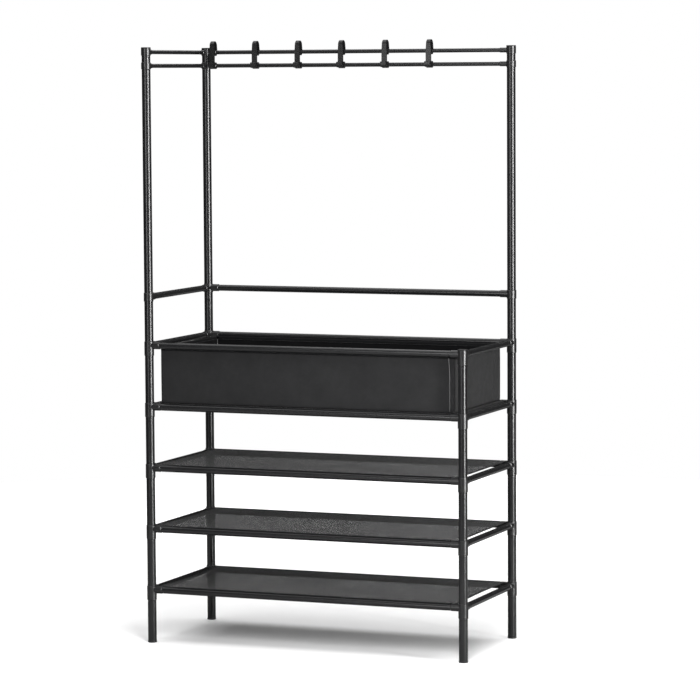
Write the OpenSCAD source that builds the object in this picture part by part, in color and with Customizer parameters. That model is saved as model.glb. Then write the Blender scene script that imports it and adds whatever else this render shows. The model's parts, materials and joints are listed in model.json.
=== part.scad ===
// Hall tree: four-corner tube rack with shelves, a lift-out bin and clip-on hooks.
// +X is the right side, -Y is the front, +Z is up, and the floor is z = 0. Millimetres.

/* [Frame] */
// Distance between the left and right post axes
frame_w = 840; // [780:10:1000]
// Distance between the front and rear post axes
frame_d = 366; // [320:2:420]
// Height of the lowest shelf rails above the floor
first_shelf_z = 135; // [90:5:180]
// Height from one shelf level to the next
shelf_pitch = 155.5; // [140:0.5:190]
// Height of the guard rail above the fifth level
guard_rise = 123; // [80:1:180]
// Height of the lower hook rail above the floor
lower_hook_rail_z = 1459.5; // [1300:0.5:1600]
// Height of the upper hook rail above the lower one
hook_rail_gap = 34.5; // [33:0.5:40]

/* [Tubes] */
// Outside diameter of the post tubes
post_d = 22; // [20:0.5:24]
// Outside diameter of the shelf and guard rails
rail_d = 16; // [14:0.5:17]
// Outside diameter of the hook rails
hook_rail_d = 10.4; // [9:0.2:10.8]
// Wall thickness of every tube
tube_wall = 1.0; // [0.8:0.1:1.5]

/* [Connectors] */
// Distance from a post axis to the end of a connector stub
stub_reach = 30; // [27:1:36]
// Wall thickness of the connector sleeves around the posts
sleeve_wall = 1.2; // [1.1:0.1:2]
// Length of a shelf connector sleeve below its rail axis
sleeve_below = 26; // [20:1:32]
// Length of a shelf connector sleeve above its rail axis
sleeve_above = 10; // [10:1:14]

/* [Shelves] */
// Gap between the lowest shelf's side hem and the side rail axis, at the corners
low_shelf_side_gap = 15; // [14:1:24]
// Gap between the other shelves' side hems and the side rail axis, at the corners
shelf_side_gap = 10; // [10:1:24]
// How far the lowest shelf's side hems bow inwards
low_shelf_bow = 8; // [3:1:16]
// How far the other shelves' side hems bow inwards
shelf_bow = 4; // [2:1:16]

/* [Bin] */
// Gap between the bin and the side rails
bin_end_clearance = 18; // [4:0.5:60]
// Gap between the bin and the rails in front of it and behind it
bin_side_clearance = 3; // [2:0.5:20]
// Height of the bin
bin_h = 143; // [100:1:144]
// Thickness of the bin's outer fabric
bin_skin = 1.5; // [1:0.1:2]
// Thickness of the bin's stiffening boards
bin_board = 2.5; // [2:0.1:4]

/* [Hooks] */
// Distance between neighbouring hooks
hook_pitch = 120.2; // [100:0.1:126]
// Width of a hook at its clip
hook_clip_w = 15; // [14:0.5:16]
// Width of a hook along its stem
hook_stem_w = 14; // [10:0.5:14]
// Width of a hook at the top of its arch
hook_crown_w = 10; // [6:0.5:12]
// Height of a hook's arch above the upper rail axis
hook_arch_rise = 29; // [24:0.5:34]

/* [Hidden] */

$fn = 64;
steel_black = [0.05, 0.05, 0.055];
plastic_black = [0.09, 0.09, 0.09];
mesh_black = [0.16, 0.16, 0.17];
fabric_black = [0.12, 0.12, 0.125];
board_grey = [0.30, 0.28, 0.26];

LEFT = -1;
RIGHT = 1;
FRONT = -1;
REAR = 1;

// Corners as [side, depth]; the front right post stops at the fifth level.
ALL_CORNERS = [[LEFT, FRONT], [LEFT, REAR], [RIGHT, REAR], [RIGHT, FRONT]];
TALL_CORNERS = [[LEFT, FRONT], [LEFT, REAR], [RIGHT, REAR]];
SHORT_CORNER = [RIGHT, FRONT];

guard_z = shelf_z(5) + guard_rise;
upper_hook_rail_z = lower_hook_rail_z + hook_rail_gap;
cut = 1;                           // how far a cutting tool runs past the face it leaves

post_r = post_d / 2;
rail_r = rail_d / 2;
hook_rail_r = hook_rail_d / 2;
slip = 0.05;                       // radial play of a tube in its socket
sleeve_r = post_r + slip + sleeve_wall;
stub_wall = 1.2;
hook_stub_wall = 0.95;
web = 3;                           // disc inside a sleeve that the tube ends meet
socket_floor = 14;                 // post axis to the floor of a rail socket
rail_start = 14.5;                 // post axis to the end of a rail
edge = 0.8;                        // chamfer on moulded edges

guard_sleeve_below = 12;
ring_half = 8.5;
top_sleeve_below = 9;
cap_disc = 2;
cap_plug_play = 0.3;
foot_disc = 4;
foot_flange = 0.6;
foot_plug = 14;

hem_play = 0.1;                    // rail surface to the inside of a hem
hem_t = 1.1;
sheet_lift = 0.1;                  // inside of a hem to the underside of the sheet
mesh_t = 0.8;
panel_hem_t = 1.3;
panel_t = 1.1;
shelf_edge_gap = 6;                // sheet edge to rail axis beside the connector stubs
hem_end_gap = 1;
post_notch_gap = 1;                // sheet corner to the connector sleeve
panel_side_gap = 10;
panel_bow = 2;
panel_flap = 9;                    // how far the panel's side edges are turned down

bin_lining_t = 1;
bin_floor_gap = 0.4;
bin_corner_r = 3 * bin_skin;
bin_rim = 3;
bin_base_t = 3;
bin_base_play = 1;
board_gap = 0.3;                   // end of a short board to the long board beside it
bin_w = frame_w - rail_d - 2 * bin_end_clearance;
bin_d = frame_d - rail_d - 2 * bin_side_clearance;
bin_z = shelf_z(4) + rail_r + hem_play + panel_hem_t + bin_floor_gap;
bin_wall = bin_skin + bin_board + bin_lining_t;
bin_floor = bin_skin + bin_lining_t;

hook_t = 4;
clip_play = 0.4;                   // connector stub to the inside of a hook
post_play = 0.75;                  // connector sleeve to the first hook
clip_bore_r = hook_rail_r + slip + hook_stub_wall + clip_play;
clip_wall = 2;
clip_mouth = 8;
shoulder = 2;                      // height over which a hook narrows from its clip to its stem
first_hook_x = -frame_w / 2 + sleeve_r + hook_clip_w / 2 + post_play;
lip_r = 6.5;
lip_t = 3.5;
lip_tip = 8;                       // lower rail axis to the top of the lip
claw_t = 3;
claw_reach = 3;                    // rail axis to the tip of the claw

function shelf_z(level) = first_shelf_z + (level - 1) * shelf_pitch;
function hook_x(i) = first_hook_x + (i - 1) * hook_pitch;

// ---------- shared shapes ----------

// Upright tube from z0 to z1
module upright_tube(d, z0, z1) {
    translate([0, 0, z0])
        difference() {
            cylinder(d = d, h = z1 - z0);
            translate([0, 0, -cut]) cylinder(d = d - 2 * tube_wall, h = z1 - z0 + 2 * cut);
        }
}

// Tube along X, centred, at the origin
module cross_tube(d, length) {
    rotate([0, 90, 0]) translate([0, 0, -length / 2]) upright_tube(d, 0, length);
}

// Puts its children on each corner of a list
module at_corners(corners) {
    for (c = corners) translate([c[0] * frame_w / 2, c[1] * frame_d / 2, 0]) children();
}

// Round bar with chamfered ends, standing from z0 to z1
module moulded_bar(r, z0, z1) {
    rotate_extrude()
        polygon([[0, z0], [r - edge, z0], [r, z0 + edge], [r, z1 - edge], [r - edge, z1], [0, z1]]);
}

// Points +Z of its children towards +X, -X, +Y or -Y
module towards(axis, sign) {
    rotate(axis == "x" ? [0, sign * 90, 0] : [-sign * 90, 0, 0]) children();
}

// ---------- posts ----------

module post_tubes(corners, z0, z1) {
    color(steel_black) at_corners(corners) upright_tube(post_d, z0, z1);
}

module leg_tubes() { post_tubes(ALL_CORNERS, foot_disc, shelf_z(1) - web); }
module post_tubes_1_2() { post_tubes(ALL_CORNERS, shelf_z(1), shelf_z(2) - web); }
module post_tubes_2_3() { post_tubes(ALL_CORNERS, shelf_z(2), shelf_z(3) - web); }
module post_tubes_3_4() { post_tubes(ALL_CORNERS, shelf_z(3), shelf_z(4) - web); }
module post_tubes_4_5() { post_tubes(ALL_CORNERS, shelf_z(4), shelf_z(5) - web); }
module post_tubes_5_6() { post_tubes(TALL_CORNERS, shelf_z(5), guard_z - web); }
module upper_post_tubes() { post_tubes(TALL_CORNERS, guard_z, upper_hook_rail_z - web); }

// Foot: a disc on the floor with a plug up into the leg
module foot_caps() {
    color(plastic_black)
        at_corners(ALL_CORNERS) {
            moulded_bar(post_r + foot_flange, 0, foot_disc);
            cylinder(r = post_r - tube_wall - slip, h = foot_plug);
        }
}

// Cap that closes the socket on top of a sleeve whose rail axis is at height z
module sleeve_cap(z) {
    translate([0, 0, z + sleeve_above]) moulded_bar(sleeve_r, 0, cap_disc);
    translate([0, 0, z + cap_plug_play])
        cylinder(r = post_r - slip, h = sleeve_above - cap_plug_play + cap_disc / 2);
}

module post_caps() {
    color(plastic_black) {
        at_corners(TALL_CORNERS) sleeve_cap(upper_hook_rail_z);
        at_corners([SHORT_CORNER]) sleeve_cap(shelf_z(5));
    }
}

// ---------- connectors ----------

// Sleeve round a post, with a stub towards each rail it holds.
// stop: the sleeve has a disc inside that separates two tube ends.
module connector(c, below, above, bar_r, bar_wall, axes, stop) {
    bore_r = bar_r + slip;
    difference() {
        union() {
            moulded_bar(sleeve_r, -below, above);
            for (a = axes) towards(a, a == "x" ? -c[0] : -c[1]) moulded_bar(bore_r + bar_wall, 0, stub_reach);
        }
        for (a = axes)
            towards(a, a == "x" ? -c[0] : -c[1])
                translate([0, 0, socket_floor]) cylinder(r = bore_r, h = stub_reach);
        if (stop) {
            translate([0, 0, -below - cut]) cylinder(r = post_r + slip, h = below + cut - web);
            cylinder(r = post_r + slip, h = above + cut);
        } else {
            translate([0, 0, -below - cut]) cylinder(r = post_r + slip, h = below + above + 2 * cut);
        }
    }
}

// Rails that meet a corner on the two-sided upper frame
function upper_axes(c) = c == [LEFT, FRONT] ? ["y"] : c == [LEFT, REAR] ? ["x", "y"] : ["x"];

module shelf_connectors(level) {
    color(plastic_black)
        for (c = ALL_CORNERS)
            translate([c[0] * frame_w / 2, c[1] * frame_d / 2, shelf_z(level)])
                connector(c, sleeve_below, sleeve_above, rail_r, stub_wall, ["x", "y"], true);
}

module upper_connectors(z, below, above, bar_r, bar_wall, stop) {
    color(plastic_black)
        for (c = TALL_CORNERS)
            translate([c[0] * frame_w / 2, c[1] * frame_d / 2, z])
                connector(c, below, above, bar_r, bar_wall, upper_axes(c), stop);
}

module guard_connectors() {
    upper_connectors(guard_z, guard_sleeve_below, sleeve_above, rail_r, stub_wall, true);
}

module lower_hook_rail_connectors() {
    upper_connectors(lower_hook_rail_z, ring_half, ring_half, hook_rail_r, hook_stub_wall, false);
}

module upper_hook_rail_connectors() {
    upper_connectors(upper_hook_rail_z, top_sleeve_below, sleeve_above, hook_rail_r, hook_stub_wall, true);
}

// ---------- rails ----------

// Rail along X at the front or rear
module long_rail(d, depth, z) {
    color(steel_black) translate([0, depth * frame_d / 2, z]) cross_tube(d, frame_w - 2 * rail_start);
}

// Rail along Y at the left or right
module side_rail(d, side, z) {
    color(steel_black)
        translate([side * frame_w / 2, 0, z]) rotate([0, 0, 90]) cross_tube(d, frame_d - 2 * rail_start);
}

// ---------- shelves ----------

// Sheet stretched between the front and rear rails. A half sleeve at each end wraps the inner
// side of the rail, and the free side edges bow inwards. flap turns the side edges down.
module sheet_shelf(z, t, sleeve_t, side_gap, bow, flap = 0) {
    half_hem = frame_w / 2 - stub_reach - hem_end_gap;
    half_w = frame_w / 2 - side_gap;
    half_d = frame_d / 2 - shelf_edge_gap;
    inner_r = rail_r + hem_play;
    bow_r = (half_d * half_d + bow * bow) / (2 * bow);
    flap_half_d = frame_d / 2 - stub_reach - hem_end_gap;
    translate([0, 0, z]) {
        difference() {
            translate([0, 0, inner_r + sheet_lift]) {
                translate([-half_w, -half_d, 0]) cube([2 * half_w, 2 * half_d, t]);
                translate([-half_hem, -frame_d / 2, 0]) cube([2 * half_hem, frame_d, t]);
            }
            for (s = [LEFT, RIGHT])
                translate([s * (half_w - bow + bow_r), 0, 0]) cylinder(r = bow_r, h = 4 * rail_r, $fn = 256);
            at_corners(ALL_CORNERS) cylinder(r = sleeve_r + post_notch_gap, h = 4 * rail_r);
        }
        if (flap > 0)
            for (s = [LEFT, RIGHT])
                translate([s * (half_w - bow - t / 2) - t / 2, -flap_half_d, inner_r + sheet_lift - flap])
                    cube([t, 2 * flap_half_d, flap + t / 2]);
        for (s = [FRONT, REAR])
            translate([0, s * frame_d / 2, 0])
                difference() {
                    rotate([0, 90, 0])
                        translate([0, 0, -half_hem])
                            difference() {
                                cylinder(r = inner_r + sleeve_t, h = 2 * half_hem);
                                translate([0, 0, -cut]) cylinder(r = inner_r, h = 2 * half_hem + 2 * cut);
                            }
                    translate([-frame_w / 2, s > 0 ? 0 : -2 * rail_d, -rail_d])
                        cube([frame_w, 2 * rail_d, 2 * rail_d]);
                }
    }
}

module mesh_shelf(level) {
    gap = level == 1 ? low_shelf_side_gap : shelf_side_gap;
    bow = level == 1 ? low_shelf_bow : shelf_bow;
    color(mesh_black) sheet_shelf(shelf_z(level), mesh_t, hem_t, gap, bow);
}

module shelf_panel() {
    color(fabric_black) sheet_shelf(shelf_z(4), panel_t, panel_hem_t, panel_side_gap, panel_bow, panel_flap);
}

// ---------- bin ----------

// Rounded rectangle, centred
module rounded_outline(w, d, r) {
    square([w - 2 * r, d], center = true);
    square([w, d - 2 * r], center = true);
    for (x = [LEFT, RIGHT], y = [FRONT, REAR]) translate([x * (w / 2 - r), y * (d / 2 - r)]) circle(r = r);
}

// Box wall between two insets from the bin's outside, from z0 to z1
module bin_layer(inset_out, inset_in, z0, z1) {
    translate([0, 0, bin_z + z0])
        linear_extrude(z1 - z0)
            difference() {
                rounded_outline(bin_w - 2 * inset_out, bin_d - 2 * inset_out, bin_corner_r - inset_out);
                square([bin_w - 2 * inset_in, bin_d - 2 * inset_in], center = true);
            }
}

module bin_cover() {
    color(fabric_black) {
        bin_layer(0, bin_skin, 0, bin_h - bin_rim);
        translate([0, 0, bin_z]) linear_extrude(bin_skin) rounded_outline(bin_w, bin_d, bin_corner_r);
    }
}

// Four boards that stand between the cover and the lining
module bin_wall_boards() {
    board_z = bin_z + bin_skin;
    board_h = bin_h - bin_rim - bin_skin;
    long_w = bin_w - 2 * bin_skin;
    short_d = bin_d - 2 * (bin_skin + bin_board) - 2 * board_gap;
    color(board_grey)
        for (s = [FRONT, REAR]) {
            translate([-long_w / 2, s * (bin_d / 2 - bin_skin - bin_board / 2) - bin_board / 2, board_z])
                cube([long_w, bin_board, board_h]);
            translate([s * (bin_w / 2 - bin_skin - bin_board / 2) - bin_board / 2, -short_d / 2, board_z])
                cube([bin_board, short_d, board_h]);
        }
}

module bin_lining() {
    inset = bin_skin + bin_board;
    color(fabric_black)
        translate([0, 0, bin_z + bin_skin])
            difference() {
                translate([-bin_w / 2 + inset, -bin_d / 2 + inset, 0])
                    cube([bin_w - 2 * inset, bin_d - 2 * inset, bin_h - bin_rim - bin_skin]);
                translate([-bin_w / 2 + bin_wall, -bin_d / 2 + bin_wall, bin_lining_t])
                    cube([bin_w - 2 * bin_wall, bin_d - 2 * bin_wall, bin_h]);
            }
}

module bin_base_board() {
    inset = bin_wall + bin_base_play;
    color(board_grey)
        translate([-bin_w / 2 + inset, -bin_d / 2 + inset, bin_z + bin_floor])
            cube([bin_w - 2 * inset, bin_d - 2 * inset, bin_base_t]);
}

module bin_rim_binding() {
    color(fabric_black) bin_layer(0, bin_wall, bin_h - bin_rim, bin_h);
}

// ---------- hooks ----------

// Side profile of a hook in [y, z], with the upper rail axis at [0, 0]
module hook_profile() {
    arch_r = clip_bore_r + hook_t;
    arch_z = hook_arch_rise - arch_r;
    lip_y = -clip_bore_r - hook_t - lip_r + lip_t;
    lower = -hook_rail_gap;
    // stem in front of both rails
    translate([-arch_r, lower]) square([hook_t, arch_z - lower]);
    // arch over the top, and the limb behind the upper rail
    difference() {
        translate([0, arch_z]) circle(r = arch_r);
        translate([0, arch_z]) circle(r = clip_bore_r);
        translate([-2 * arch_r, arch_z - 2 * arch_r]) square([4 * arch_r, 2 * arch_r]);
    }
    translate([clip_bore_r, 0]) square([hook_t, arch_z]);
    // claw under the upper rail
    difference() {
        circle(r = clip_bore_r + claw_t);
        circle(r = clip_bore_r);
        translate([-2 * arch_r, 0]) square([4 * arch_r, 2 * arch_r]);
        translate([-2 * arch_r, -2 * arch_r]) square([2 * arch_r + claw_reach, 4 * arch_r]);
    }
    // clip round the lower rail, open to the rear
    translate([0, lower])
        difference() {
            circle(r = clip_bore_r + clip_wall);
            circle(r = clip_bore_r);
            translate([0, -clip_mouth / 2]) square([2 * arch_r, clip_mouth]);
        }
    // upturned lip in front of the clip
    difference() {
        translate([lip_y, lower]) circle(r = lip_r);
        translate([lip_y, lower]) circle(r = lip_r - lip_t);
        translate([lip_y - 2 * lip_r, lower]) square(4 * lip_r);
        translate([0, lower]) circle(r = clip_bore_r);
    }
    translate([lip_y - lip_r, lower]) square([lip_t, lip_tip - lip_t / 2]);
    translate([lip_y - lip_r + lip_t / 2, lower + lip_tip - lip_t / 2]) circle(d = lip_t);
}

// Front outline of a hook in [x, z]: wide at the clip, narrow at the top of the arch
module hook_outline() {
    low = -hook_rail_gap - clip_bore_r - 2 * clip_wall;
    clip_top = -hook_rail_gap + clip_bore_r + clip_wall;
    top = hook_arch_rise + cut;
    polygon([[-hook_clip_w / 2, low], [hook_clip_w / 2, low], [hook_clip_w / 2, clip_top],
        [hook_stem_w / 2, clip_top + shoulder], [hook_stem_w / 2, 0], [hook_crown_w / 2, top],
        [-hook_crown_w / 2, top], [-hook_stem_w / 2, 0], [-hook_stem_w / 2, clip_top + shoulder],
        [-hook_clip_w / 2, clip_top]]);
}

module hook(i) {
    deep = 6 * clip_bore_r + 6 * lip_r;
    color(plastic_black)
        translate([hook_x(i), frame_d / 2, upper_hook_rail_z])
            intersection() {
                rotate([90, 0, 90]) translate([0, 0, -hook_clip_w]) linear_extrude(2 * hook_clip_w) hook_profile();
                rotate([90, 0, 0]) translate([0, 0, -deep / 2]) linear_extrude(deep) hook_outline();
            }
}

foot_caps();
leg_tubes();
post_tubes_1_2();
post_tubes_2_3();
post_tubes_3_4();
post_tubes_4_5();
post_tubes_5_6();
upper_post_tubes();
post_caps();
shelf_connectors(1);  // connectors_level_1
shelf_connectors(2);  // connectors_level_2
shelf_connectors(3);  // connectors_level_3
shelf_connectors(4);  // connectors_level_4
shelf_connectors(5);  // connectors_level_5
guard_connectors();
lower_hook_rail_connectors();
upper_hook_rail_connectors();
long_rail(rail_d, FRONT, shelf_z(1));  // front_rail_1
long_rail(rail_d, FRONT, shelf_z(2));  // front_rail_2
long_rail(rail_d, FRONT, shelf_z(3));  // front_rail_3
long_rail(rail_d, FRONT, shelf_z(4));  // front_rail_4
long_rail(rail_d, FRONT, shelf_z(5));  // front_rail_5
long_rail(rail_d, REAR, shelf_z(1));  // rear_rail_1
long_rail(rail_d, REAR, shelf_z(2));  // rear_rail_2
long_rail(rail_d, REAR, shelf_z(3));  // rear_rail_3
long_rail(rail_d, REAR, shelf_z(4));  // rear_rail_4
long_rail(rail_d, REAR, shelf_z(5));  // rear_rail_5
side_rail(rail_d, LEFT, shelf_z(1));  // left_rail_1
side_rail(rail_d, LEFT, shelf_z(2));  // left_rail_2
side_rail(rail_d, LEFT, shelf_z(3));  // left_rail_3
side_rail(rail_d, LEFT, shelf_z(4));  // left_rail_4
side_rail(rail_d, LEFT, shelf_z(5));  // left_rail_5
side_rail(rail_d, RIGHT, shelf_z(1));  // right_rail_1
side_rail(rail_d, RIGHT, shelf_z(2));  // right_rail_2
side_rail(rail_d, RIGHT, shelf_z(3));  // right_rail_3
side_rail(rail_d, RIGHT, shelf_z(4));  // right_rail_4
side_rail(rail_d, RIGHT, shelf_z(5));  // right_rail_5
long_rail(rail_d, REAR, guard_z);  // guard_rail_rear
side_rail(rail_d, LEFT, guard_z);  // guard_rail_left
long_rail(hook_rail_d, REAR, lower_hook_rail_z);  // hook_rail_rear_lower
long_rail(hook_rail_d, REAR, upper_hook_rail_z);  // hook_rail_rear_upper
side_rail(hook_rail_d, LEFT, lower_hook_rail_z);  // hook_rail_left_lower
side_rail(hook_rail_d, LEFT, upper_hook_rail_z);  // hook_rail_left_upper
mesh_shelf(1);  // mesh_shelf_1
mesh_shelf(2);  // mesh_shelf_2
mesh_shelf(3);  // mesh_shelf_3
shelf_panel();
bin_cover();
bin_wall_boards();
bin_lining();
bin_base_board();
bin_rim_binding();
hook(1);  // hook_1
hook(2);  // hook_2
hook(3);  // hook_3
hook(4);  // hook_4
hook(5);  // hook_5
hook(6);  // hook_6
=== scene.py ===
import json
import math
import random

import bpy
import bmesh
from mathutils import Matrix, Vector, noise


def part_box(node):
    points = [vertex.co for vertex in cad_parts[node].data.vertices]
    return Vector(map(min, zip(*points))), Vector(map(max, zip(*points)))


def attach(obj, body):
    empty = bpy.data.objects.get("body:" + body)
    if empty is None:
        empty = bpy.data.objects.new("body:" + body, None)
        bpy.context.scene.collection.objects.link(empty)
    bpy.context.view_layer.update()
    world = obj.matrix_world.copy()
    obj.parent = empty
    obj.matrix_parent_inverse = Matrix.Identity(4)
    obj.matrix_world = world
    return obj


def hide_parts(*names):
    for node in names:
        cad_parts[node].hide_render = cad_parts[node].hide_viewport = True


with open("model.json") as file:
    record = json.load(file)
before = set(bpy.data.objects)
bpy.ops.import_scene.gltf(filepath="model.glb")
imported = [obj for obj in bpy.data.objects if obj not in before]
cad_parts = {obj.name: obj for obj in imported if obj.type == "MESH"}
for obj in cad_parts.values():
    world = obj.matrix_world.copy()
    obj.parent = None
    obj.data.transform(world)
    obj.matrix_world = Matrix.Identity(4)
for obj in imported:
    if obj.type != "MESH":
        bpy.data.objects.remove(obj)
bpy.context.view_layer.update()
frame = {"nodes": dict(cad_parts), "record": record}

MM = 0.001
SCENE = bpy.context.scene


# ---------------------------------------------------------------- camera, light and floor

CAMERA_AT = Vector((3.075, -7.539, 1.443))
CAMERA_AZIMUTH, CAMERA_PITCH, CAMERA_ROLL = math.radians(21.847), math.radians(4.927), math.radians(0.344)
CAMERA_LENS = 166.27
WORLD_LIGHT = 0.05
FLOOR_RADIUS = 3.4
GLOW_FROM, GLOW_TO, GLOW_LOW, GLOW_HIGH = 0.7, 3.4, 0.02, 0.85
BOUNCE = 0.22


def add_camera():
    """Camera to the right of the front, looking slightly down."""
    fwd = Vector((-math.sin(CAMERA_AZIMUTH) * math.cos(CAMERA_PITCH),
                  math.cos(CAMERA_AZIMUTH) * math.cos(CAMERA_PITCH), -math.sin(CAMERA_PITCH)))
    right = Vector((math.cos(CAMERA_AZIMUTH), math.sin(CAMERA_AZIMUTH), 0))
    up = right.cross(fwd)
    c, s = math.cos(CAMERA_ROLL), math.sin(CAMERA_ROLL)
    x_axis, y_axis = right * c - up * s, up * c + right * s
    cam = bpy.data.objects.new("camera", bpy.data.cameras.new("camera"))
    cam.data.lens, cam.data.sensor_width = CAMERA_LENS, 36
    cam.data.clip_end = 60
    cam.matrix_world = Matrix.Translation(CAMERA_AT) @ Matrix((x_axis, y_axis, -fwd)).transposed().to_4x4()
    SCENE.collection.objects.link(cam)
    SCENE.camera = cam


def area_light(name, at, target, size, watts, shows_in=("diffuse", "gloss")):
    """Rectangular softbox at a point, facing a target; size is (width, height) in metres."""
    data = bpy.data.lights.new(name, "AREA")
    data.shape, data.size, data.size_y, data.energy = "RECTANGLE", *size, watts
    lamp = bpy.data.objects.new(name, data)
    lamp.location = at
    lamp.rotation_euler = (Vector(target) - Vector(at)).to_track_quat("-Z", "Y").to_euler()
    lamp.visible_camera = False
    lamp.visible_diffuse = "diffuse" in shows_in
    lamp.visible_glossy = "gloss" in shows_in
    SCENE.collection.objects.link(lamp)


def add_world():
    """White to the camera, dim to every other ray, so that dark tubes keep dark edges."""
    world = bpy.data.worlds.new("studio")
    SCENE.world = world
    world.use_nodes = True
    nt = world.node_tree
    nt.nodes.clear()
    out = nt.nodes.new("ShaderNodeOutputWorld")
    seen, lit, mix = (nt.nodes.new(n) for n in
                      ("ShaderNodeBackground", "ShaderNodeBackground", "ShaderNodeMixShader"))
    path = nt.nodes.new("ShaderNodeLightPath")
    seen.inputs["Color"].default_value = (1, 1, 1, 1)
    seen.inputs["Strength"].default_value = 1.0
    lit.inputs["Color"].default_value = (1, 1, 1, 1)
    lit.inputs["Strength"].default_value = WORLD_LIGHT
    nt.links.new(path.outputs["Is Camera Ray"], mix.inputs["Fac"])
    nt.links.new(lit.outputs[0], mix.inputs[1])
    nt.links.new(seen.outputs[0], mix.inputs[2])
    nt.links.new(mix.outputs[0], out.inputs["Surface"])


def add_floor():
    """Pale floor that runs into the white behind it, and looks dimmer in reflections than to the eye."""
    bm = bmesh.new()
    bmesh.ops.create_circle(bm, cap_ends=True, segments=96, radius=FLOOR_RADIUS)
    mesh = bpy.data.meshes.new("floor")
    bm.to_mesh(mesh)
    bm.free()
    floor = bpy.data.objects.new("floor", mesh)
    SCENE.collection.objects.link(floor)
    mat = bpy.data.materials.new("floor_paint")
    mat.use_nodes = True
    nt = mat.node_tree
    bsdf = nt.nodes["Principled BSDF"]
    bsdf.inputs["Roughness"].default_value = 0.9
    bsdf.inputs["Specular IOR Level"].default_value = 0.1
    coord, tex, ramp = (nt.nodes.new(n) for n in
                        ("ShaderNodeTexCoord", "ShaderNodeTexNoise", "ShaderNodeValToRGB"))
    tex.inputs["Scale"].default_value = 1.5
    ramp.color_ramp.elements[0].color = (0.90, 0.90, 0.90, 1)
    ramp.color_ramp.elements[1].color = (0.93, 0.93, 0.93, 1)
    nt.links.new(coord.outputs["Object"], tex.inputs["Vector"])
    nt.links.new(tex.outputs["Fac"], ramp.inputs["Fac"])
    nt.links.new(ramp.outputs["Color"], bsdf.inputs["Base Color"])
    reach, rise = nt.nodes.new("ShaderNodeVectorMath"), nt.nodes.new("ShaderNodeMapRange")
    reach.operation = "LENGTH"
    rise.inputs["To Min"].default_value, rise.inputs["To Max"].default_value = GLOW_LOW, GLOW_HIGH
    rise.inputs["From Min"].default_value, rise.inputs["From Max"].default_value = GLOW_FROM, GLOW_TO
    bsdf.inputs["Emission Color"].default_value = (1, 1, 1, 1)
    nt.links.new(coord.outputs["Object"], reach.inputs[0])
    nt.links.new(reach.outputs["Value"], rise.inputs["Value"])
    nt.links.new(rise.outputs["Result"], bsdf.inputs["Emission Strength"])
    path, dim, mix = (nt.nodes.new(n) for n in
                      ("ShaderNodeLightPath", "ShaderNodeBsdfDiffuse", "ShaderNodeMixShader"))
    dim.inputs["Color"].default_value = (BOUNCE, BOUNCE, BOUNCE, 1)
    nt.links.new(path.outputs["Is Camera Ray"], mix.inputs["Fac"])
    nt.links.new(dim.outputs[0], mix.inputs[1])
    nt.links.new(bsdf.outputs[0], mix.inputs[2])
    nt.links.new(mix.outputs[0], nt.nodes["Material Output"].inputs["Surface"])
    mesh.materials.append(mat)


# ---------------------------------------------------------------- materials

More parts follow.
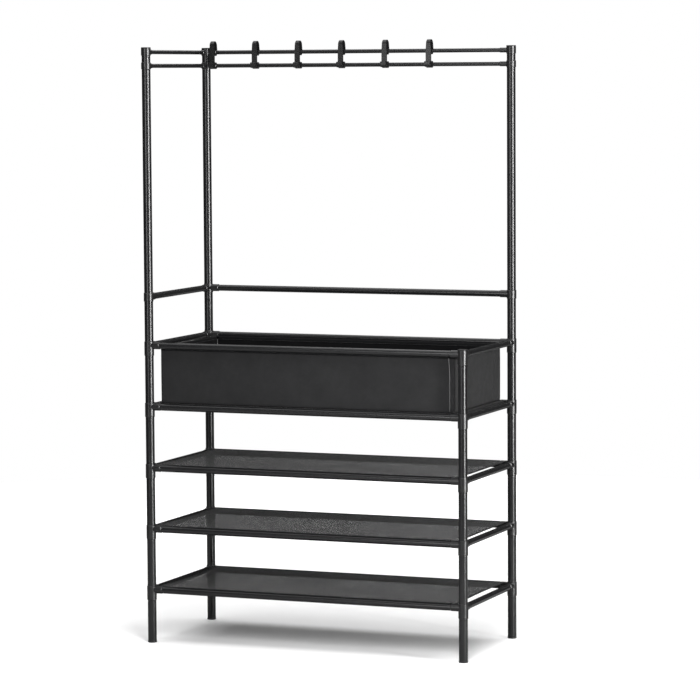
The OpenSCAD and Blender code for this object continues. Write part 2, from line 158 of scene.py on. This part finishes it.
class Paint:
    """A node material with one Principled shader, built a step at a time."""

    def __init__(self, name, rough, specular=0.5, sheen=0.0, coat=0.0):
        self.mat = bpy.data.materials.new(name)
        self.mat.use_nodes = True
        self.nt = self.mat.node_tree
        self.bsdf = self.nt.nodes["Principled BSDF"]
        self.bsdf.inputs["Roughness"].default_value = rough
        self.bsdf.inputs["Specular IOR Level"].default_value = specular
        self.bsdf.inputs["Sheen Weight"].default_value = sheen
        self.bsdf.inputs["Sheen Roughness"].default_value = 0.6
        self.bsdf.inputs["Coat Weight"].default_value = coat
        self.bsdf.inputs["Coat Roughness"].default_value = 0.14
        coord = self.node("ShaderNodeTexCoord")
        self.coords = coord.outputs["Object"]
        split = self.node("ShaderNodeSeparateXYZ")
        self.link(self.coords, split.inputs[0])
        self.x, self.y, self.z = split.outputs

    def node(self, kind, **props):
        n = self.nt.nodes.new(kind)
        for key, value in props.items():
            setattr(n, key, value)
        return n

    def link(self, a, b):
        self.nt.links.new(a, b)
        return b

    def math(self, op, a, b=None):
        n = self.node("ShaderNodeMath", operation=op)
        for socket, value in zip(n.inputs, (a, b)):
            if isinstance(value, (int, float)):
                socket.default_value = value
            elif value is not None:
                self.link(value, socket)
        return n.outputs[0]

    def noise(self, pitch, detail=2.0, stretch=(1, 1, 1)):
        """Noise whose cells are about pitch metres across, from 0 to 1."""
        scale = self.node("ShaderNodeVectorMath", operation="MULTIPLY")
        self.link(self.coords, scale.inputs[0])
        scale.inputs[1].default_value = [s / pitch for s in stretch]
        tex = self.node("ShaderNodeTexNoise")
        tex.inputs["Scale"].default_value = 1
        tex.inputs["Detail"].default_value = detail
        self.link(scale.outputs[0], tex.inputs["Vector"])
        return tex.outputs["Fac"]

    def spread(self, value, low, high):
        """Maps a 0 to 1 value to low to high."""
        n = self.node("ShaderNodeMapRange")
        n.inputs["From Min"].default_value, n.inputs["From Max"].default_value = 0.25, 0.75
        n.inputs["To Min"].default_value, n.inputs["To Max"].default_value = low, high
        self.link(value, n.inputs["Value"])
        return n.outputs["Result"]

    def colour(self, value, dark, light):
        ramp = self.node("ShaderNodeValToRGB")
        ramp.color_ramp.elements[0].position, ramp.color_ramp.elements[1].position = 0.25, 0.75
        ramp.color_ramp.elements[0].color = (*dark, 1)
        ramp.color_ramp.elements[1].color = (*light, 1)
        self.link(value, ramp.inputs["Fac"])
        self.link(ramp.outputs["Color"], self.bsdf.inputs["Base Color"])

    def roughness(self, value, low, high):
        self.link(self.spread(value, low, high), self.bsdf.inputs["Roughness"])

    def bump(self, height, depth, strength=1.0):
        """Adds a bump of that depth in metres on top of those before it."""
        n = self.node("ShaderNodeBump")
        n.inputs["Strength"].default_value = strength
        n.inputs["Distance"].default_value = depth
        self.link(height, n.inputs["Height"])
        socket = self.bsdf.inputs["Normal"]
        if socket.is_linked:
            self.link(socket.links[0].from_socket, n.inputs["Normal"])
        self.link(n.outputs["Normal"], socket)

    def weave(self, u, v, pitch):
        """Plain weave of threads along u and v, from 0 to 1."""
        along = self.math("SINE", self.math("MULTIPLY", u, 2 * math.pi / pitch))
        across = self.math("SINE", self.math("MULTIPLY", v, 2 * math.pi / pitch))
        return self.math("MULTIPLY_ADD", self.math("MULTIPLY", along, across), 0.5)


def powder_coat():
    p = Paint("powder_coat", 0.25, specular=0.6, coat=0.4)
    p.colour(p.noise(0.05, 4), (0.0060, 0.0060, 0.0065), (0.0090, 0.0090, 0.0096))
    p.roughness(p.noise(0.09, 2), 0.235, 0.27)
    return p.mat


def moulded_plastic(name, dark, light, rough_low, rough_high, specular=0.5):
    p = Paint(name, rough_low, specular=specular)
    p.colour(p.noise(0.03, 3), dark, light)
    p.roughness(p.noise(0.05, 2), rough_low, rough_high)
    return p.mat


def thread(name, dark, light):
    p = Paint(name, 0.72, specular=0.3, sheen=0.1)
    p.colour(p.noise(0.02, 3), dark, light)
    p.bump(p.noise(0.0006, 2, (1, 6, 1)), 0.00006, 0.8)
    return p.mat


def woven(name, dark, light, flat, pitch=0.0009, sheen=0.12, specular=0.3):
    """Close-woven cloth; flat is True for a level sheet and False for upright walls."""
    p = Paint(name, 0.78, specular=specular, sheen=sheen)
    u = p.x if flat else p.math("ADD", p.x, p.y)
    v = p.y if flat else p.z
    p.colour(p.noise(0.06, 5), dark, light)
    p.roughness(p.noise(0.02, 3), 0.68, 0.88)
    p.bump(p.weave(u, v, pitch), 0.00018, 0.6)
    p.bump(p.noise(0.035, 3), 0.0006, 0.25)
    return p.mat


# ---------------------------------------------------------------- mesh helpers

def new_piece(name, bm, mats, body, smooth=True):
    """Makes an object from a bmesh, rides it on a body and gives it its materials."""
    bmesh.ops.recalc_face_normals(bm, faces=bm.faces[:])
    mesh = bpy.data.meshes.new(name)
    bm.to_mesh(mesh)
    bm.free()
    for mat in mats:
        mesh.materials.append(mat)
    if smooth:
        mesh.shade_smooth()
    obj = bpy.data.objects.new(name, mesh)
    SCENE.collection.objects.link(obj)
    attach(obj, body)
    return obj


def sweep(bm, rings, closed=False, material=0):
    """Closed tube through rings of points, all the same length; closed joins the last to the first."""
    loops = [[bm.verts.new(p) for p in ring] for ring in rings]
    n, count = len(loops[0]), len(loops)
    for i in range(count if closed else count - 1):
        a, b = loops[i], loops[(i + 1) % count]
        for k in range(n):
            f = bm.faces.new((a[k], a[(k + 1) % n], b[(k + 1) % n], b[k]))
            f.material_index = material
    if not closed:
        for end in (loops[0][::-1], loops[-1]):
            bm.faces.new(end).material_index = material
    return loops


def four_sides(half_x, half_y):
    """For each side of a box: its outward signs, its direction and its half length."""
    along_x, along_y = Vector((1, 0, 0)), Vector((0, 1, 0))
    return ((0, -1, along_x, half_x), (0, 1, along_x, half_x),
            (-1, 0, along_y, half_y), (1, 0, along_y, half_y))


def stitch_row(bm, points, length, width, height, material=0):
    """A raised stitch between each pair of points."""
    for a, b, out in points:
        along = (b - a).normalized()
        side = along.cross(out)
        rings = []
        for t, k in ((0.0, 0.25), (0.2, 0.9), (0.8, 0.9), (1.0, 0.25)):
            mid = a + along * length * t
            rings.append([mid + side * width * k, mid + out * height * k,
                          mid - side * width * k, mid - out * height * 0.3])
        sweep(bm, rings, material=material)


def rail_centre(node):
    lo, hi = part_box(node)
    return (lo + hi) / 2


# ---------------------------------------------------------------- mesh shelves

THREAD_T = 0.19 * MM
STITCH_PITCH, STITCH_L = 5 * MM, 3.4 * MM
STITCH_W, STITCH_T = 0.35 * MM, 0.3 * MM
COLUMN_PITCH, COLUMN_W = 1.8 * MM, 1.52 * MM
ROW_PITCH, ROW_W = 2.2 * MM, 1.78 * MM
NET_STEP = 11 * MM
SIDE_BOW = {1: 8 * MM, 2: 4 * MM, 3: 4 * MM, 4: 2 * MM}
HEM_W = 9 * MM
HEM_T = 0.9 * MM
POST_CLEAR = 15 * MM


class Shelf:
    """Where one stretched shelf sheet lies, read from its rails."""

    def __init__(self, level, node):
        front, rear = rail_centre(f"front_rail_{level}"), rail_centre(f"rear_rail_{level}")
        rail_lo, rail_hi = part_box(f"front_rail_{level}")
        _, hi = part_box(node)
        self.level, self.node = level, node
        self.rail_r = (rail_hi.z - rail_lo.z) / 2
        self.rail_z, self.half_d = front.z, (rear.y - front.y) / 2
        self.half_w, self.bow = hi.x, SIDE_BOW[level]
        self.hem_x = rail_hi.x - 15.5 * MM - 1 * MM
        self.top = self.rail_z + self.rail_r + 0.35 * MM
        self.sag = 1.6 * MM

    def edge(self, y):
        """Half width of the sheet at that depth."""
        share = min(1.0, abs(y) / self.half_d)
        return self.half_w - self.bow * (1 - share * share)

    def z(self, x, y):
        """Height of the sheet, which sags a little between its rails."""
        fy, fx = y / self.half_d, x / self.half_w
        ripple = 0.35 * MM * noise.noise(Vector((x * 9, y * 14, self.level * 3.7)))
        return self.top - (self.sag * (1 - 0.35 * fx * fx) - ripple) * (1 - fy * fy)


def ribbon(bm, path, across, width, thick):
    """Flat thread with a diamond section along a path."""
    rings = []
    for p in path:
        half, up = across * width / 2, Vector((0, 0, thick / 2))
        rings.append([p - half, p - up, p + half, p + up])
    sweep(bm, rings)


def net(bm, shelf, rng):
    """The open net between the hems."""
    inner_y = shelf.half_d - 3 * MM
    rows = int(2 * inner_y / ROW_PITCH)
    steps = round(2 * inner_y / NET_STEP)
    columns = int(2 * shelf.half_w / COLUMN_PITCH)
    for i in range(columns):
        x0 = -shelf.half_w + (i + 0.5) * 2 * shelf.half_w / columns
        path = []
        for k in range(steps + 1):
            y = -inner_y + 2 * inner_y * k / steps
            x = x0 * shelf.edge(y) / shelf.half_w + rng.uniform(-0.42, 0.42) * COLUMN_PITCH
            path.append(Vector((x, y, shelf.z(x, y))))
        ribbon(bm, path, Vector((1, 0, 0)), COLUMN_W * rng.uniform(0.85, 1.15), THREAD_T)
    for i in range(rows):
        y0 = -inner_y + (i + 0.5) * 2 * inner_y / rows
        half = shelf.edge(y0) - 1 * MM
        steps_x = round(2 * half / (2 * NET_STEP))
        path = []
        for k in range(steps_x + 1):
            x = -half + 2 * half * k / steps_x
            y = y0 + rng.uniform(-0.2, 0.2) * ROW_PITCH
            path.append(Vector((x, y, shelf.z(x, y) + 0.02 * MM)))
        ribbon(bm, path, Vector((0, 1, 0)), ROW_W, THREAD_T)


def turned_down_edge(bm, shelf, side, drop, thick):
    """Strip that turns the sheet down beside a side rail, with a rounded lower edge."""
    reach, steps = shelf.half_d - 31 * MM, 40
    rings = []
    for k in range(steps + 1):
        y = -reach + 2 * reach * k / steps
        x = side * (shelf.edge(y) - thick)
        top = shelf.z(x, y)
        low = top - drop + 0.5 * MM * noise.noise(Vector((y * 18, side, 2.1)))
        lean = side * 0.6 * MM
        rings.append([Vector((x - side * thick / 2, y, top)), Vector((x + side * thick / 2, y, top)),
                      Vector((x + side * thick / 2 + lean, y, low + 0.6 * MM)), Vector((x + lean, y, low)),
                      Vector((x - side * thick / 2 + lean, y, low + 0.6 * MM))])
    sweep(bm, rings)


def side_hem(bm, shelf, side):
    """Folded binding along a free side edge, with rounded faces."""
    reach = shelf.half_d - POST_CLEAR / 1.6
    steps = 36
    rings = []
    for k in range(steps + 1):
        y = -reach + 2 * reach * k / steps
        x = side * shelf.edge(y)
        z = shelf.z(x, y) + 0.05 * MM
        ring = []
        for fx, fz in ((0, 0), (0.04, 0.8), (0.2, 1), (0.8, 1), (1, 0.5),
                       (1, -0.5), (0.8, -1), (0.2, -1), (0.04, -0.8)):
            ring.append(Vector((x - side * fx * HEM_W, y, z + fz * HEM_T / 2)))
        rings.append(ring)
    sweep(bm, rings)
    stitches = []
    y = -reach + 4 * MM
    while y < reach - 6 * MM:
        x = side * (shelf.edge(y) - HEM_W * 0.72)
        x2 = side * (shelf.edge(y + STITCH_L) - HEM_W * 0.72)
        z = shelf.z(x, y) + HEM_T / 2 + 0.05 * MM
        stitches.append((Vector((x, y, z)), Vector((x2, y + STITCH_L, z)), Vector((0, 0, 1))))
        y += STITCH_PITCH
    stitch_row(bm, stitches, STITCH_L, STITCH_W, STITCH_T, material=1)


def rail_hem(bm, shelf, depth):
    """Sleeve of cloth round the inner side of a rail, with a flat band over the sheet's edge."""
    inner_r, outer_r = shelf.rail_r + 0.15 * MM, shelf.rail_r + 1.0 * MM
    band = 11 * MM
    axis_y, axis_z = depth * shelf.half_d, shelf.rail_z
    arc = [math.radians(a) for a in range(-84, 91, 6)]
    outer = [(axis_y - depth * outer_r * math.cos(a), axis_z + outer_r * math.sin(a)) for a in arc]
    inner = [(axis_y - depth * inner_r * math.cos(a), axis_z + inner_r * math.sin(a)) for a in arc]
    half = shelf.hem_x
    steps = 48
    rings = []
    for k in range(steps + 1):
        x = -half + 2 * half * k / steps
        wave = 0.12 * MM * noise.noise(Vector((x * 40, depth, shelf.level)))
        rings.append([Vector((x, y - depth * wave, z)) for y, z in outer] +
                     [Vector((x, y, z)) for y, z in reversed(inner)])
    sweep(bm, rings)
    rings = []
    for k in range(steps + 1):
        x = -half + 2 * half * k / steps
        ring = []
        for t, h in ((0.0, 0.25), (0.0, -0.25), (1.0, -0.4), (1.04, 0.0), (1.0, 0.5), (0.5, 0.55)):
            y = depth * (shelf.half_d - t * band)
            lift = 0.75 * MM if t < 0.3 else 0.1 * MM
            ring.append(Vector((x, y, shelf.z(x, y) + lift + h * HEM_T)))
        rings.append(ring)
    sweep(bm, rings)
    stitches = []
    x = -half + 4 * MM
    while x < half - 6 * MM:
        y = depth * (shelf.half_d - band * 0.8)
        z = shelf.z(x, y) + 0.1 * MM + 0.5 * HEM_T
        stitches.append((Vector((x, y, z)), Vector((x + STITCH_L, y, z)), Vector((0, 0, 1))))
        x += STITCH_PITCH
    stitch_row(bm, stitches, STITCH_L, STITCH_W, STITCH_T, material=1)


def mesh_shelf(level, net_mat, hem_mat, stitch_mat):
    shelf = Shelf(level, f"mesh_shelf_{level}")
    rng = random.Random(40 + level)
    bm = bmesh.new()
    net(bm, shelf, rng)
    sheet = new_piece(f"shelf_net_{level}", bm, [net_mat], "frame")
    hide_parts(shelf.node)
    bm = bmesh.new()
    for side in (-1, 1):
        side_hem(bm, shelf, side)
    for depth in (-1, 1):
        rail_hem(bm, shelf, depth)
    hems = new_piece(f"shelf_net_hems_{level}", bm, [hem_mat, stitch_mat], "frame")


def shelf_panel(cloth, hem_mat, stitch_mat):
    """Opaque sheet under the bin."""
    shelf = Shelf(4, "shelf_panel")
    shelf.sag = 0.3 * MM
    thick = 0.8 * MM
    inner_y = shelf.half_d - 3 * MM
    nx, ny = 64, 30
    bm = bmesh.new()
    layers = []
    for offset in (0, -thick):
        grid = []
        for j in range(ny + 1):
            y = -inner_y + 2 * inner_y * j / ny
            half = shelf.edge(y)
            if abs(y) > shelf.half_d - POST_CLEAR:
                half = min(half, shelf.half_w - 8 * MM)
            row = []
            for i in range(nx + 1):
                x = half * (2 * i / nx - 1)
                row.append(bm.verts.new((x, y, shelf.z(x, y) + 0.2 * MM + offset)))
            grid.append(row)
        layers.append(grid)
    top, low = layers
    for j in range(ny):
        for i in range(nx):
            bm.faces.new((top[j][i], top[j][i + 1], top[j + 1][i + 1], top[j + 1][i]))
            bm.faces.new((low[j][i], low[j + 1][i], low[j + 1][i + 1], low[j][i + 1]))
    for a, b in ((0, nx),):
        for j in range(ny):
            bm.faces.new((top[j][a], top[j + 1][a], low[j + 1][a], low[j][a]))
            bm.faces.new((top[j][b], low[j][b], low[j + 1][b], top[j + 1][b]))
    for i in range(nx):
        bm.faces.new((top[0][i], low[0][i], low[0][i + 1], top[0][i + 1]))
        bm.faces.new((top[ny][i], top[ny][i + 1], low[ny][i + 1], low[ny][i]))
    sheet = new_piece("shelf_panel_cloth", bm, [cloth], "frame")
    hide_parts("shelf_panel")
    bm = bmesh.new()
    for side in (-1, 1):
        side_hem(bm, shelf, side)
    for depth in (-1, 1):
        rail_hem(bm, shelf, depth)
    for side in (-1, 1):
        turned_down_edge(bm, shelf, side, 9.5 * MM, 1.1 * MM)
    hems = new_piece("shelf_panel_hems", bm, [hem_mat, stitch_mat], "frame")


# ---------------------------------------------------------------- bin

CORNER_STEPS = 6


def outline(half_x, half_y, radius, step):
    """Points round a rounded rectangle, with the outward normal of each: (x, y, nx, ny, where)."""
    points = []
    corners = ((1, 1, 0), (-1, 1, 90), (-1, -1, 180), (1, -1, 270))
    for n, (sx, sy, start) in enumerate(corners):
        cx, cy = sx * (half_x - radius), sy * (half_y - radius)
        for k in range(CORNER_STEPS + 1):
            a = math.radians(start + 90 * k / CORNER_STEPS)
            points.append((cx + radius * math.cos(a), cy + radius * math.sin(a), math.cos(a), math.sin(a)))
        nxt = corners[(n + 1) % 4]
        a = math.radians(start + 90)
        x0, y0 = cx + radius * math.cos(a), cy + radius * math.sin(a)
        x1 = nxt[0] * (half_x - radius) + radius * math.cos(a)
        y1 = nxt[1] * (half_y - radius) + radius * math.sin(a)
        count = max(2, round(math.hypot(x1 - x0, y1 - y0) / step))
        for k in range(1, count):
            points.append((x0 + (x1 - x0) * k / count, y0 + (y1 - y0) * k / count, math.cos(a), math.sin(a)))
    return points


def fabric_relief(x, y, z, half_x, half_y, z0, z1):
    """How far the outer cloth stands off its board at a point: soft waves, a fold, a slack foot."""
    rise = (z - z0) / (z1 - z0)
    fade = math.sin(math.pi * min(1, max(0, rise)))
    wave = 0.5 * MM * noise.noise(Vector((x * 5, y * 5, z * 9)))
    wave += 0.22 * MM * noise.noise(Vector((x * 22, y * 22, z * 30)))
    relief = wave * (0.35 + 0.65 * fade) + 0.4 * MM * fade
    if x > half_x - 6 * MM:
        relief -= 1.5 * MM * math.exp(-((y - 0.128) / 0.007) ** 2) * (0.4 + 0.6 * fade)
    foot = max(0.0, 1 - rise / 0.09)
    if y < 6 * MM - half_y:
        lift = max(0.0, math.sin((x + 0.09) * 34)) * max(0.0, 1 - abs(x - 0.06) / 0.2)
        relief += 1.1 * MM * foot * lift
    return max(relief, -1.1 * MM)


def bin_cover(cloth):
    lo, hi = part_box("bin_cover")
    half_x, half_y, thick = hi.x, hi.y, 1.3 * MM
    ring = outline(half_x, half_y, 5 * MM, 8 * MM)
    z0, z1 = lo.z + 0.2 * MM, hi.z
    levels = [0, 0.012, 0.03, 0.06, 0.1] + [0.1 + 0.9 * k / 14 for k in range(1, 15)]
    bm = bmesh.new()
    rings = []
    for t in levels:
        z = z0 + (z1 - z0) * t
        tuck = 1.2 * MM * max(0.0, 1 - t / 0.03) ** 2
        row = []
        for x, y, nx, ny in ring:
            d = fabric_relief(x, y, z, half_x, half_y, z0, z1) - tuck
            row.append(Vector((x + nx * d, y + ny * d, z)))
        rings.append(row)
    inner = [[Vector((x - nx * thick * 1.6, y - ny * thick * 1.6, z0 + (z1 - z0) * t)) for x, y, nx, ny in ring]
             for t in reversed(levels)]
    inner[-1] = [Vector((p.x, p.y, z0 + thick)) for p in inner[-1]]
    loops = [[bm.verts.new(p) for p in row] for row in rings + inner]
    n = len(ring)
    for a, b in zip(loops, loops[1:]):
        for k in range(n):
            bm.faces.new((a[k], a[(k + 1) % n], b[(k + 1) % n], b[k]))
    bm.faces.new(loops[0][::-1])
    bm.faces.new(loops[-1])
    piece = new_piece("bin_cover_cloth", bm, [cloth], "bin")
    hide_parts("bin_cover")


def bin_lining(cloth):
    lo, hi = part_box("bin_lining")
    wall = 1 * MM
    half_x, half_y = hi.x - wall, hi.y - wall
    z0, z1 = lo.z + wall, hi.z
    ring = outline(half_x, half_y, 3 * MM, 9 * MM)
    bm = bmesh.new()
    rings = []
    for k in range(13):
        t = k / 12
        z = z0 + (z1 - z0) * t
        row = []
        for x, y, nx, ny in ring:
            d = 0.5 * MM * noise.noise(Vector((x * 7 + 9, y * 7, z * 12))) * math.sin(math.pi * t)
            d -= 1.5 * MM * max(0.0, 1 - t / 0.08) ** 2
            row.append(Vector((x + nx * d, y + ny * d, z)))
        rings.append(row)
    outer = [[Vector((x + nx * wall * 0.8, y + ny * wall * 0.8,
                      z0 + (z1 - z0) * k / 12 - (wall if k == 0 else 0)))
              for x, y, nx, ny in ring] for k in range(12, -1, -1)]
    loops = [[bm.verts.new(p) for p in row] for row in rings + outer]
    n = len(ring)
    for a, b in zip(loops, loops[1:]):
        for k in range(n):
            bm.faces.new((a[k], a[(k + 1) % n], b[(k + 1) % n], b[k]))
    bm.faces.new(loops[0])
    bm.faces.new(loops[-1][::-1])
    piece = new_piece("bin_lining_cloth", bm, [cloth], "bin")
    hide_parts("bin_lining")


def bin_rim(tape, stitch_mat):
    """Folded tape over the top edge of the bin, sewn through both sides."""
    _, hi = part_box("bin_rim_binding")
    wall = 5 * MM
    leg = 10 * MM
    ring = outline(hi.x, hi.y, 5 * MM, 8 * MM)
    bm = bmesh.new()
    # [distance in from the outer face, height from the top] round the tape's section
    section = [(-0.5, -10), (-0.75, -9.2), (-0.75, -2.2), (-0.45, -0.9), (0.6, -0.1),
               (2.5, 0.15), (4.4, -0.1), (5.45, -0.9), (5.75, -2.2), (5.75, -9.2),
               (5.5, -10), (4.9, -10), (4.9, -3.2), (0.1, -3.2), (0.1, -10)]
    rings = []
    for x, y, nx, ny in ring:
        wobble = 0.25 * MM * noise.noise(Vector((x * 25, y * 25, 4.2)))
        rings.append([Vector((x - nx * d * MM, y - ny * d * MM, hi.z + h * MM + wobble)) for d, h in section])
    sweep(bm, rings, closed=True)
    pitch, sewn = 4.5 * MM, 3.0 * MM
    for inset, out in ((-0.75 * MM, 1), (wall + 0.75 * MM, -1)):
        stitches = []
        z = hi.z - leg + 2.2 * MM
        for sx, sy, along, half in four_sides(hi.x, hi.y):
            t = -half + 9 * MM
            while t < half - 11 * MM:
                a = along * t + Vector((sx * (hi.x - inset), sy * (hi.y - inset), z))
                wob = 0.25 * MM * noise.noise(Vector((a.x * 25, a.y * 25, 4.2)))
                a.z += wob
                stitches.append((a, a + along * sewn, Vector((sx * out, sy * out, 0))))
                t += pitch
        stitch_row(bm, stitches, sewn, 0.32 * MM, 0.28 * MM, material=1)
    piece = new_piece("bin_rim_tape", bm, [tape, stitch_mat], "bin")
    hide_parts("bin_rim_binding")


def bead(bm, points, radius, material=0, sides=10):
    """Round cord through upright points."""
    rings = []
    for p in points:
        rings.append([p + Vector((radius * math.cos(2 * math.pi * k / sides),
                                  radius * math.sin(2 * math.pi * k / sides), 0)) for k in range(sides)])
    sweep(bm, rings, material=material)


PIPING_INSET = 11.3 * MM


def bin_piping_painted_highlight(cord_mat_painted_highlight):
    """Thin cord sewn down the front near its right corner, and beads in the inner corner seams; their pale grey
    is a painted highlight on that crease and on the seams.
    """
    lo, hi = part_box("bin_cover")
    bm = bmesh.new()
    steps = 24
    for sx, sy in ((1, -1), (-1, 1)):
        points = []
        for k in range(steps + 1):
            t = k / steps
            z = lo.z + 3 * MM + (hi.z - 9 * MM - lo.z) * t
            inset = PIPING_INSET + 2.2 * MM * math.exp(-((1 - t) / 0.16) ** 2)
            inset += 0.25 * MM * noise.noise(Vector((sx * 3, sy * 5, z * 60)))
            points.append(Vector((sx * (hi.x - inset), sy * (hi.y + 0.5 * MM), z)))
        bead(bm, points, 0.9 * MM)
    for sx in (-1, 1):
        for sy in (-1, 1):
            points = []
            for k in range(17):
                t = k / 16
                points.append(Vector((sx * (hi.x - 6.2 * MM), sy * (hi.y - 6.2 * MM),
                                      lo.z + 7 * MM + (hi.z - 12 * MM - lo.z) * t)))
            bead(bm, points, 0.8 * MM)
    new_piece("bin_corner_piping", bm, [cord_mat_painted_highlight], "bin")


def bin_base(cloth, stitch_mat):
    """Cloth-covered base board with rounded edges and a sewn border."""
    lo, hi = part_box("bin_base_board")
    half_x, half_y = hi.x, hi.y
    bm = bmesh.new()
    ring = outline(half_x, half_y, 4 * MM, 10 * MM)
    profile = [(0.9, 0.0), (0.15, 0.6), (0.0, 1.4), (0.15, 2.3), (0.7, 2.8), (1.6, 3.0)]
    loops = []
    for inset, h in profile:
        loops.append([bm.verts.new((x - nx * inset * MM, y - ny * inset * MM, lo.z + h * MM))
                      for x, y, nx, ny in ring])
    n = len(ring)
    for a, b in zip(loops, loops[1:]):
        for k in range(n):
            bm.faces.new((a[k], a[(k + 1) % n], b[(k + 1) % n], b[k]))
    bm.faces.new(loops[0][::-1])
    bm.faces.new(loops[-1])
    stitches = []
    inset = 9 * MM
    for sx, sy, along, half in four_sides(half_x - inset, half_y - inset):
        t = -half
        while t < half - STITCH_L:
            a = along * t + Vector((sx * (half_x - inset), sy * (half_y - inset), hi.z))
            stitches.append((a, a + along * STITCH_L, Vector((0, 0, 1))))
            t += STITCH_PITCH
    stitch_row(bm, stitches, STITCH_L, STITCH_W, STITCH_T, material=1)
    piece = new_piece("bin_base_cover", bm, [cloth, stitch_mat], "bin")
    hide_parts("bin_base_board")


# ---------------------------------------------------------------- carried-over CAD pieces

def dress_cad(paints):
    """Gives every shown CAD node its finish, and rounds moulded edges."""
    slot_of = {s["node"]: s["material_slot"] for s in frame["record"]["subparts"]}
    for name, obj in frame["nodes"].items():
        mat = paints.get(slot_of.get(name))
        if mat is None:
            continue
        obj.data.materials.clear()
        obj.data.materials.append(mat)
        if slot_of[name] in ("connector_plastic", "hook_plastic"):
            bevel = obj.modifiers.new("edges", "BEVEL")
            bevel.width = 0.45 * MM if slot_of[name] == "hook_plastic" else 0.3 * MM
            bevel.segments, bevel.limit_method, bevel.angle_limit = 2, "ANGLE", math.radians(38)
            bevel.harden_normals = False


# ---------------------------------------------------------------- the scene

SCENE.view_settings.view_transform = "Standard"
SCENE.view_settings.look = "None"
SCENE.view_settings.exposure = 0

add_camera()
add_world()
add_floor()
area_light("overhead", (0.0, 0.1, 3.4), (0, 0, 0), (4.6, 4.0), 142, ("diffuse",))
area_light("overhead_gloss", (0.0, 0.3, 3.4), (0, 0, 0), (4.6, 4.0), 54)
area_light("right_strip", (3.1, -1.05, 1.1), (0, 0, 0.8), (0.28, 3.0), 50)
area_light("right_strip_gloss", (3.1, -1.05, 1.1), (0, 0, 0.8), (0.28, 3.0), 230, ("gloss",))
area_light("right_fill", (0.75, -1.55, 1.1), (0.3, 0, 0.65), (0.6, 1.0), 40, ("diffuse",))
area_light("front_fill", (-0.7, -4.6, 1.5), (0, 0, 0.7), (1.2, 2.4), 34)
area_light("back_wash", (-0.6, 3.2, 3.6), (0, 0, 0.6), (2.0, 1.2), 14)

steel = powder_coat()
joint_plastic = moulded_plastic("connector_plastic", (0.0075, 0.0075, 0.0079), (0.0105, 0.0105, 0.0109),
                                0.26, 0.34, 0.8)
hook_plastic = moulded_plastic("hook_plastic", (0.0065, 0.0065, 0.0069), (0.0095, 0.0095, 0.0099),
                               0.22, 0.30, 0.8)
net_thread = thread("net_thread", (0.006, 0.006, 0.0065), (0.0105, 0.0105, 0.011))
hem_cloth = woven("hem_cloth", (0.0055, 0.0055, 0.0060), (0.0085, 0.0085, 0.0090), True, 0.0007, 0.02)
panel_cloth = woven("panel_cloth", (0.0055, 0.0055, 0.0060), (0.0085, 0.0085, 0.0090), True, 0.0008, 0.02)
bin_cloth = woven("bin_cloth", (0.0100, 0.0100, 0.0105), (0.0140, 0.0140, 0.0145), False, sheen=0.03)
# The lining is darker than the outer bin cloth; this is painted shade for the inside of the bin.
lining_cloth_painted_shade = woven("lining_cloth_painted_shade", (0.0030, 0.0030, 0.0034), (0.0046, 0.0046, 0.0050), False,
                     sheen=0.0, specular=0.1)
base_cloth = woven("base_cloth", (0.0034, 0.0034, 0.0038), (0.0050, 0.0050, 0.0054), True,
                   sheen=0.0, specular=0.1)
# The rim tape is darker than the outer bin cloth; this is painted shade for the inside of the rim, under the
# rear rail.
tape_cloth_painted_shade = woven("tape_cloth_painted_shade", (0.0034, 0.0034, 0.0038), (0.0052, 0.0052, 0.0056), False, 0.0006, 0.0, 0.15)
stitch_thread = thread("stitch_thread", (0.030, 0.030, 0.032), (0.045, 0.045, 0.047))
# The piping cord's pale grey is a painted highlight: it stands in for the light caught by a crease near the
# front-right corner and by the inner corner seams.
piping_cord_painted_highlight = moulded_plastic("piping_cord_painted_highlight", (0.075, 0.075, 0.076), (0.105, 0.105, 0.106), 0.30, 0.40, 0.8)
board = moulded_plastic("board", (0.13, 0.12, 0.11), (0.19, 0.18, 0.165), 0.75, 0.85)

dress_cad({"tube_enamel": steel, "connector_plastic": joint_plastic, "hook_plastic": hook_plastic,
           "bin_board": board, "shelf_mesh": net_thread, "panel_fabric": panel_cloth, "bin_fabric": bin_cloth})
for level in (1, 2, 3):
    mesh_shelf(level, net_thread, hem_cloth, stitch_thread)
shelf_panel(panel_cloth, hem_cloth, stitch_thread)
bin_cover(bin_cloth)
bin_lining(lining_cloth_painted_shade)
bin_rim(tape_cloth_painted_shade, stitch_thread)
bin_piping_painted_highlight(piping_cord_painted_highlight)
bin_base(base_cloth, stitch_thread)
